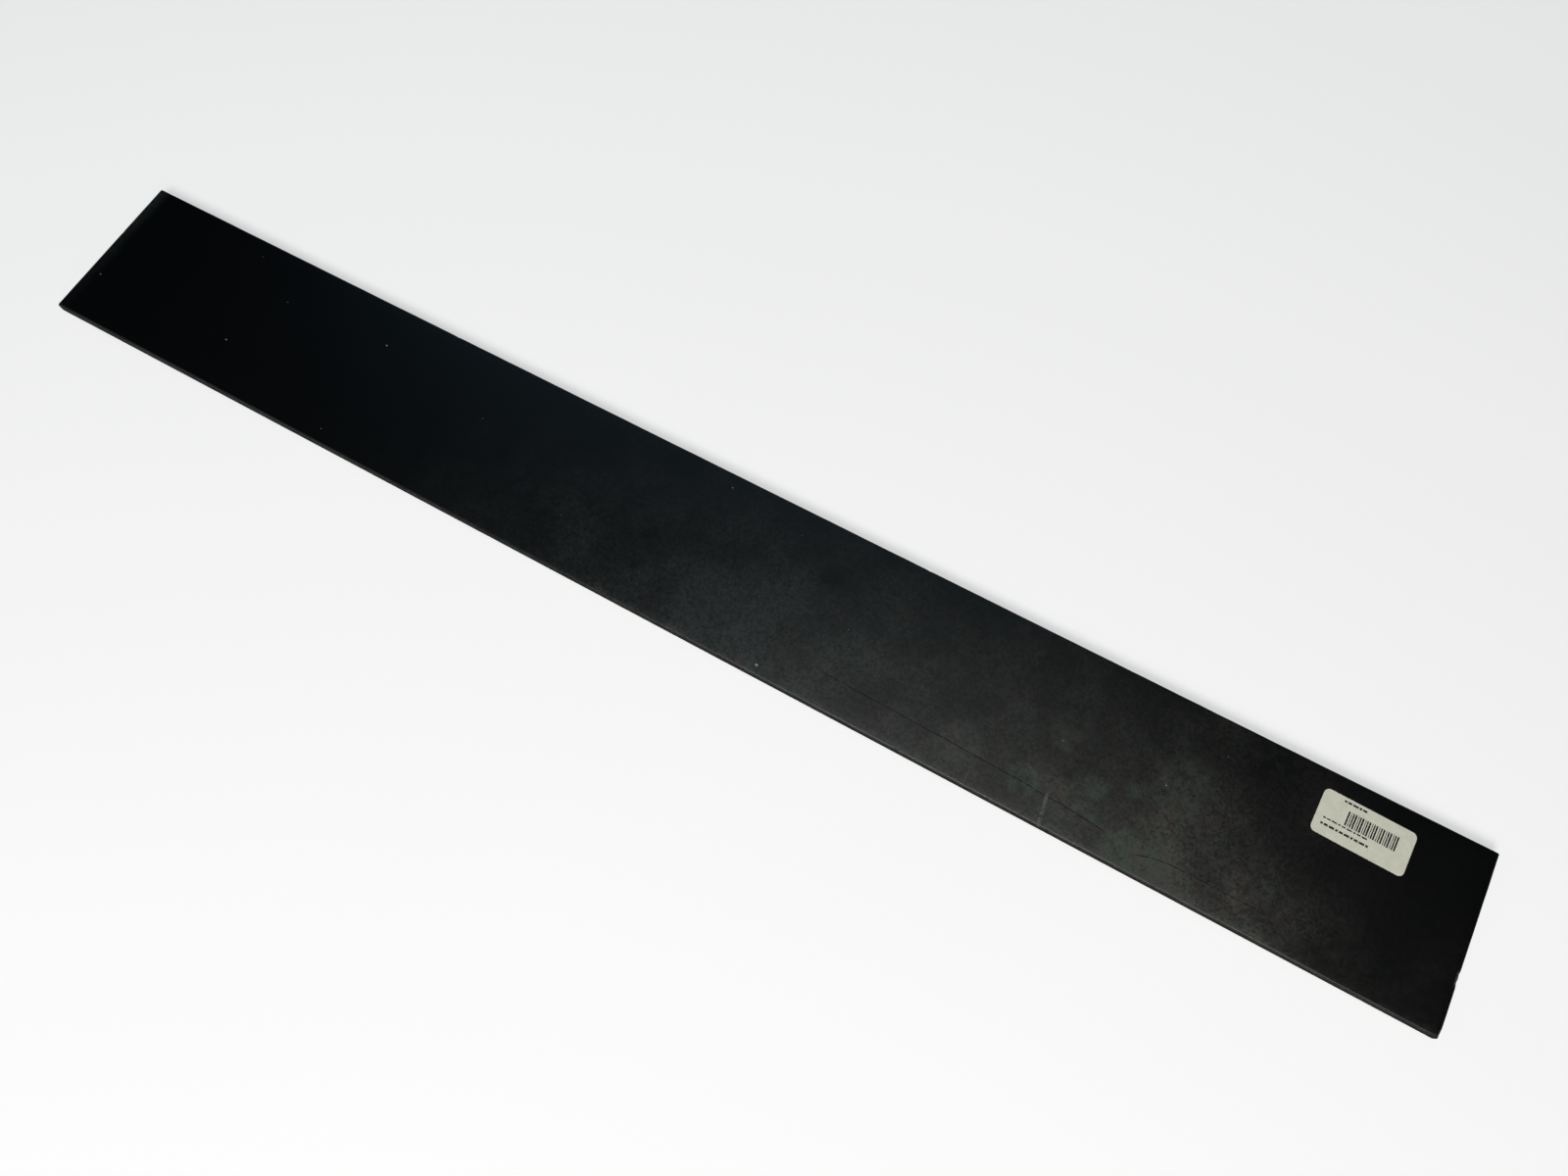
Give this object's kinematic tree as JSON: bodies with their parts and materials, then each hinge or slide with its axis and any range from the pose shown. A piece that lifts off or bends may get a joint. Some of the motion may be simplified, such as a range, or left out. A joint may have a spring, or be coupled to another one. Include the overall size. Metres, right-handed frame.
{
  "type": "kick plate",
  "caption": "Long, thin black plastic kick plate with eased edges, a stock label on its face, and foam mounting tape with release liners on its back.",
  "frame": {"origin": "middle of the back, in the outer plane of the release liners, where the door's surface goes", "axes": "+X along the plate's length to the labelled end, +Y across its width to the upper edge, +Z out of the wear face"},
  "size_m": [0.889, 0.1016, 0.0077],
  "materials": {
    "black_plastic": "satin",
    "label_paper": "matte",
    "foam_tape": "matte",
    "liner_film": "gloss"
  },
  "bodies": {
    "root": {"face_plate": "black_plastic", "stock_label": "label_paper", "upper_foam_tape": "foam_tape", "lower_foam_tape": "foam_tape", "left_end_foam_tape": "foam_tape", "middle_foam_tape": "foam_tape", "right_end_foam_tape": "foam_tape", "upper_release_liner": "liner_film", "lower_release_liner": "liner_film", "left_end_release_liner": "liner_film", "middle_release_liner": "liner_film", "right_end_release_liner": "liner_film"}
  },
  "joints": []
}
